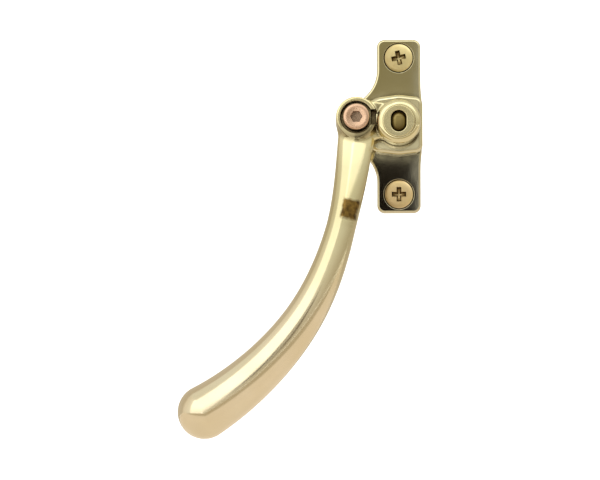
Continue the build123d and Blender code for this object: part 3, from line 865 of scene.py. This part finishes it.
def moulded_acetal_natural():
    """Moulded acetal, natural: milky white, waxy, with the fine grain of the mould."""
    finish, tree = new_finish("moulded_acetal_natural")
    spot = add(tree, "ShaderNodeTexCoord").outputs["Object"]
    grain = add(tree, "ShaderNodeTexNoise", {"Vector": spot, "Scale": 1 / (0.4 * MM), "Detail": 3}).outputs[0]
    tone = add(tree, "ShaderNodeMix", {0: grain, 6: colour("#EFEEE8"), 7: colour("#E4E2DA")}, data_type="RGBA")
    fine = add(tree, "ShaderNodeBump", {"Height": grain, "Strength": 0.2, "Distance": 0.01 * MM})
    surface = add(
        tree,
        "ShaderNodeBsdfPrincipled",
        {
            "Base Color": tone.outputs[2],
            "Roughness": add(tree, "ShaderNodeMapRange", {0: grain, 3: 0.32, 4: 0.42}).outputs[0],
            "IOR": 1.48,
            "Subsurface Weight": 0.15,
            "Subsurface Scale": 0.5 * MM,
            "Normal": fine.outputs[0],
        },
    )
    add(tree, "ShaderNodeOutputMaterial", {"Surface": surface.outputs[0]})
    return finish


def matt_paper(name, shade, glow):
    """Matt studio paper: one even shade, no gloss, lit a little from behind."""
    finish, tree = new_finish(name)
    surface = add(
        tree,
        "ShaderNodeBsdfPrincipled",
        {
            "Base Color": colour(shade),
            "Roughness": 0.9,
            "Specular IOR Level": 0.0,
            "Emission Color": colour(shade),
            "Emission Strength": glow,
        },
    )
    add(tree, "ShaderNodeOutputMaterial", {"Surface": surface.outputs[0]})
    return finish


def glowing_paper(name, left, right, start, end):
    """Studio paper lit from behind: no gloss, an even glow with the faintest mottle, its shade easing from
    left to right between two places."""
    finish, tree = new_finish(name)
    spot = add(tree, "ShaderNodeTexCoord").outputs["Object"]
    across = add(tree, "ShaderNodeSeparateXYZ", {0: spot}).outputs["X"]
    share = add(tree, "ShaderNodeMapRange", {0: across, 1: start, 2: end}).outputs[0]
    tone = add(tree, "ShaderNodeMix", {0: share, 6: colour(left), 7: colour(right)}, data_type="RGBA")
    mottle = add(tree, "ShaderNodeTexNoise", {"Vector": spot, "Scale": 1 / (60 * MM), "Detail": 1}).outputs[0]
    surface = add(
        tree,
        "ShaderNodeBsdfPrincipled",
        {
            "Base Color": colour("#000000"),
            "Roughness": 1.0,
            "Specular IOR Level": 0.0,
            "Emission Color": tone.outputs[2],
            "Emission Strength": add(tree, "ShaderNodeMapRange", {0: mottle, 3: 0.95, 4: 1.05}).outputs[0],
        },
    )
    add(tree, "ShaderNodeOutputMaterial", {"Surface": surface.outputs[0]})
    return finish


def make_sweep():
    """White paper sweep: floor under the handle, curved up to a wall behind it."""
    start = WALL - CURVE
    profile = [(-REACH, FLOOR), (start, FLOOR)]
    profile += [(start + CURVE * sin(a), FLOOR + CURVE * (1 - cos(a))) for a in np.linspace(0.1, pi / 2, 12)]
    profile += [(WALL, WALL_TOP)]
    places = [(x, y, z) for y, z in profile for x in (-REACH, REACH)]
    faces = [(i, i + 1, i + 3, i + 2) for i in range(0, len(places) - 2, 2)]
    sweep = new_piece("paper_sweep", places, faces)
    for face in sweep.data.polygons:
        face.use_smooth = True
    paper = matt_paper("matt_white_paper", "#FBFBFA", 0.45)
    sweep.data.materials.append(paper)
    # The same paper hangs on the other three sides, for views from there; it takes no part in the light
    corners = ((-REACH, WALL), (-REACH, -REACH), (REACH, -REACH), (REACH, WALL))
    places = [(x, y, z) for x, y in corners for z in (FLOOR, WALL_TOP)]
    hanging = new_piece("paper_hanging", places, [(i, i + 2, i + 3, i + 1) for i in (0, 2, 4)])
    hanging.data.materials.append(paper)
    hanging.visible_shadow = False
    hanging.visible_diffuse = False
    hanging.visible_glossy = False


def look_along(spot, target):
    """Where a camera or a lamp stands and how it is turned: at spot, looking at target."""
    back = (Vector(spot) - Vector(target)).normalized()
    right = Vector((0, 0, 1)).cross(back).normalized()
    turned_to = Matrix((right, back.cross(right), back)).transposed().to_4x4()
    return Matrix.Translation(spot) @ turned_to


def softbox(name, spot, target, width, height, glow):
    """A soft lamp; glow is how bright its face looks."""
    lamp = bpy.data.lights.new(name, "AREA")
    lamp.shape = "RECTANGLE"
    lamp.size, lamp.size_y = width, height
    lamp.energy = glow * 4 * width * height
    stand = bpy.data.objects.new(name, lamp)
    bpy.context.scene.collection.objects.link(stand)
    stand.matrix_world = look_along(spot, target)


def card(name, corners, left, right=None):
    """A card, given by two opposite corners, that only the polished metal sees. Its shade may change from
    left to right."""
    (x0, y0, z0), (x1, y1, z1) = corners
    if z0 == z1:
        places = [(x0, y0, z0), (x1, y0, z0), (x1, y1, z0), (x0, y1, z0)]
    else:
        places = [(x0, y0, z0), (x1, y1, z0), (x1, y1, z1), (x0, y0, z1)]
    sheet = new_piece(name, places, [(0, 1, 2, 3)])
    sheet.data.materials.append(glowing_paper(name + "_paper", left, right or left, x0, x1))
    sheet.visible_camera = False
    sheet.visible_shadow = False
    sheet.visible_diffuse = False


def make_camera():
    """The photograph's camera: a long lens 0.6 m away, a little below and to the right."""
    turn, tilt, distance = radians(3), radians(-3), 0.6
    target = Vector((-31.03, -3.4, -35.74)) * MM
    back = Vector((sin(turn) * cos(tilt), -cos(turn) * cos(tilt), sin(tilt)))
    lens = bpy.data.cameras.new("camera")
    lens.sensor_width = 36
    lens.lens = 114.8
    camera = bpy.data.objects.new("camera", lens)
    bpy.context.scene.collection.objects.link(camera)
    camera.matrix_world = look_along(target + back * distance, target)
    bpy.context.scene.camera = camera


def make_light():
    """Soft light: a tall lamp on the left, one above, a pale room, and cards that the polish mirrors."""
    world = bpy.data.worlds.new("studio")
    world.use_nodes = True
    tree = world.node_tree
    way = add(tree, "ShaderNodeTexCoord").outputs["Generated"]
    rise = add(tree, "ShaderNodeSeparateXYZ", {0: way}).outputs["Z"]
    high = add(tree, "ShaderNodeMapRange", {0: rise, 1: -0.10, 2: 0.35}).outputs[0]
    tone = add(tree, "ShaderNodeMix", {0: high, 6: colour("#F0E4CC"), 7: colour("#F6F4EA")}, data_type="RGBA")
    glow = add(tree, "ShaderNodeMapRange", {0: high, 3: 0.57, 4: 0.95})
    tree.links.new(tone.outputs[2], tree.nodes["Background"].inputs["Color"])
    tree.links.new(glow.outputs[0], tree.nodes["Background"].inputs["Strength"])
    bpy.context.scene.world = world
    bpy.context.scene.view_settings.view_transform = "Standard"
    middle = (-0.035, 0, -0.04)
    softbox("left_lamp", (-0.40, -0.66, 0.33), (-0.035, 0, 0.33), 0.84, 0.98, 0.62)
    softbox("top_lamp", (0.165, -0.39, 0.40), middle, 0.58, 0.34, 0.64)
    # Behind the camera, from the foot up: what the flat places of plate, eye and hub mirror
    card("dark_room", ((-0.050, -0.660, -0.010), (0.0122, -0.660, 0.055)), "#181310")
    card("door_frame", ((0.0122, -0.661, -0.010), (0.030, -0.661, 0.150)), "#B8B8BA")
    card("window_strip", ((-0.016, -0.660, 0.055), (0.016, -0.660, 0.091)), "#FFFBEE", "#DAD6CA")
    card("picture_low", ((-0.050, -0.660, 0.055), (-0.016, -0.660, 0.070)), "#6E6450")
    card("picture_high", ((-0.050, -0.660, 0.070), (-0.016, -0.660, 0.091)), "#B0A68E")
    card("ceiling_shade", ((-0.060, -0.660, 0.091), (0.0122, -0.660, 0.150)), "#9A9278")
    card("curtain", ((0.062, -0.660, -0.030), (0.150, -0.660, 0.130)), "#746858")
    # Left of the lamp: the wall that fades away from it
    card("left_wall", ((-0.90, 0.13, -0.130), (-0.75, -0.45, 0.82)), "#EDE3D4", "#FFFCF4")
    # Below and behind the handle: what the undersides and the rims mirror
    card("table_far", ((-0.95, -0.95, -0.132), (0.95, -0.20, -0.132)), "#C4B8A2")
    card("table_near", ((-0.95, -0.20, -0.132), (0.95, 0.13, -0.132)), "#F3E6D6")
    card("wall_shade", ((-0.90, 0.13, -0.130), (0.90, 0.13, 0.45)), "#D2C8B8")


make_camera()
make_light()
make_sweep()

grip_brass = cast_brass(
    "cast_brass_hand_polished_lacquered",
    keen=0.13,
    dull=0.17,
    clean_tones=("#EAE0B6", "#D4CCA6", "#ECE1C6"),
    clouded_tones=("#DACE9A", "#CABF90", "#DDCEA8"),
)
plate_brass = cast_brass(
    "cast_brass_flat_polished_lacquered",
    keen=0.045,
    dull=0.06,
    clean_tones=("#E0D8B2", "#DAD2B4", "#DAD2B4"),
    clouded_tones=("#D2C89E", "#CCC2A0", "#CCC2A0"),
)
pieces = (
    (make_lever(), "handle", "lever", "polished_brass", grip_brass),
    (make_backplate(), "base", "backplate", "polished_brass", plate_brass),
    (make_lock_screw(), "lock", "lock_screw", "copper_toned_brass", turned_copper_brass()),
    (make_spindle(), "handle", "spindle", "zinc_plated_steel", drawn_steel_zinc_plated()),
)
for piece, body, node, slot, finish in pieces:
    piece.data.materials.clear()
    piece.data.materials.append(finish)
    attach(piece, body)
    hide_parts(node)
plated = headed_steel_brass_plated()
for name, up, turn in (("upper", SCREW_SPACING / 2, 12), ("lower", -SCREW_SPACING / 2, 0)):
    screw = make_fixing_screw("fixing_screw_turned_" + name, up, turn)
    screw.data.materials.append(plated)
    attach(screw, "base")
    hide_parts("fixing_screw_" + name)
for node, finish in (
    ("pivot_bush", moulded_acetal_natural()),
    ("disc_spring", hardened_spring_steel_oiled()),
    ("thrust_washer", bpy.data.materials["drawn_steel_zinc_plated"]),
):
    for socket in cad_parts[node].material_slots:
        socket.material = finish
